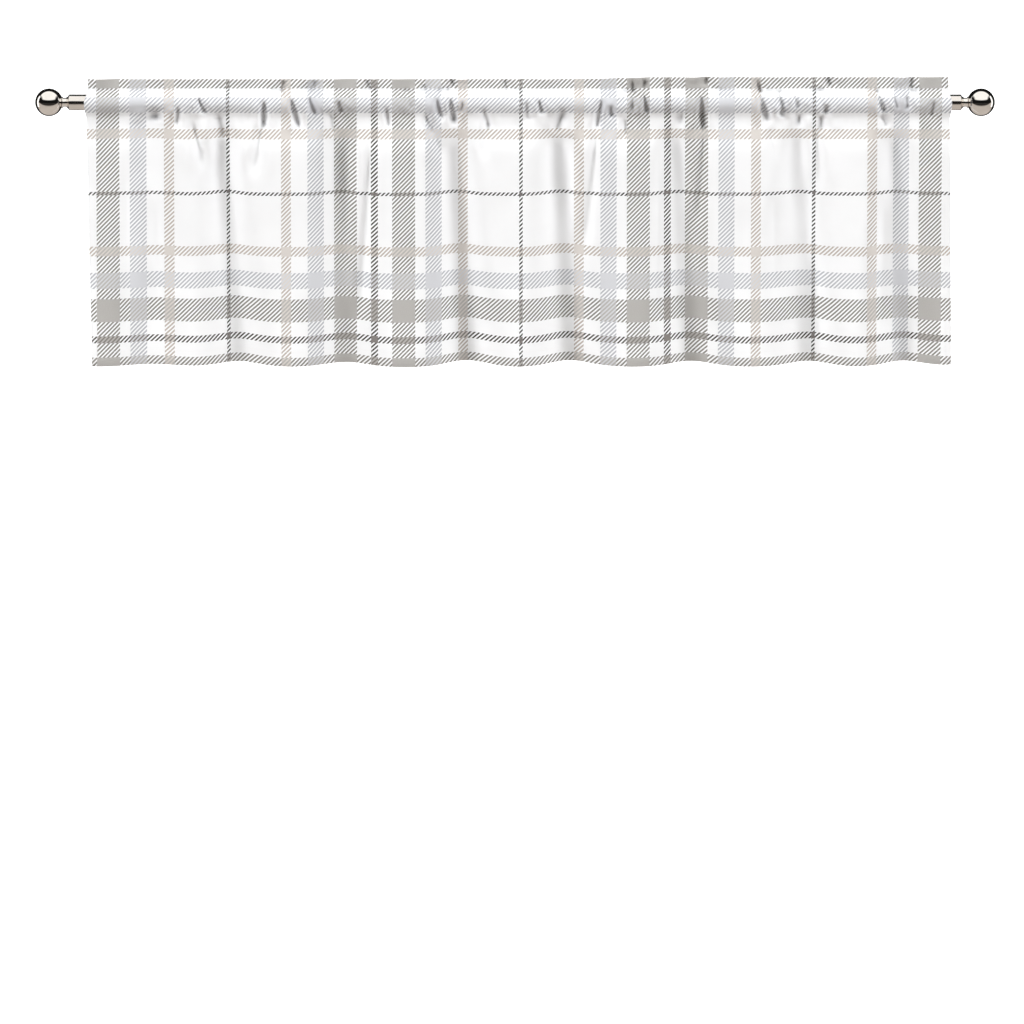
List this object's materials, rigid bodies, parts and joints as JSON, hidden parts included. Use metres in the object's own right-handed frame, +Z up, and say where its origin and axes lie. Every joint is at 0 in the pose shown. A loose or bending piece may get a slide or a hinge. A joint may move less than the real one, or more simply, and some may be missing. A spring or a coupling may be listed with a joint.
{
  "type": "window valance on curtain rod",
  "caption": "Short gathered valance with a frilled header and rod pocket, hanging in soft folds from a round curtain rod with ball finials.",
  "frame": {"origin": "on the curtain rod's axis, half way along the rod", "axes": "+X along the rod to the viewer's right, +Z up, the printed face of the cloth looks towards -Y and the wall is on the +Y side"},
  "size_m": [1.5268, 0.0541, 0.4584],
  "materials": {
    "cloth": "matt printed polyester cloth, white with a grey, silver and beige twill plaid",
    "rod_metal": "satin nickel plated tube",
    "finial_metal": "polished nickel"
  },
  "bodies": {
    "root": {"valance": "cloth", "rod": "rod_metal", "finial_neck_left": "finial_metal", "finial_neck_right": "finial_metal", "finial_ball_left": "finial_metal", "finial_ball_right": "finial_metal"}
  },
  "joints": []
}
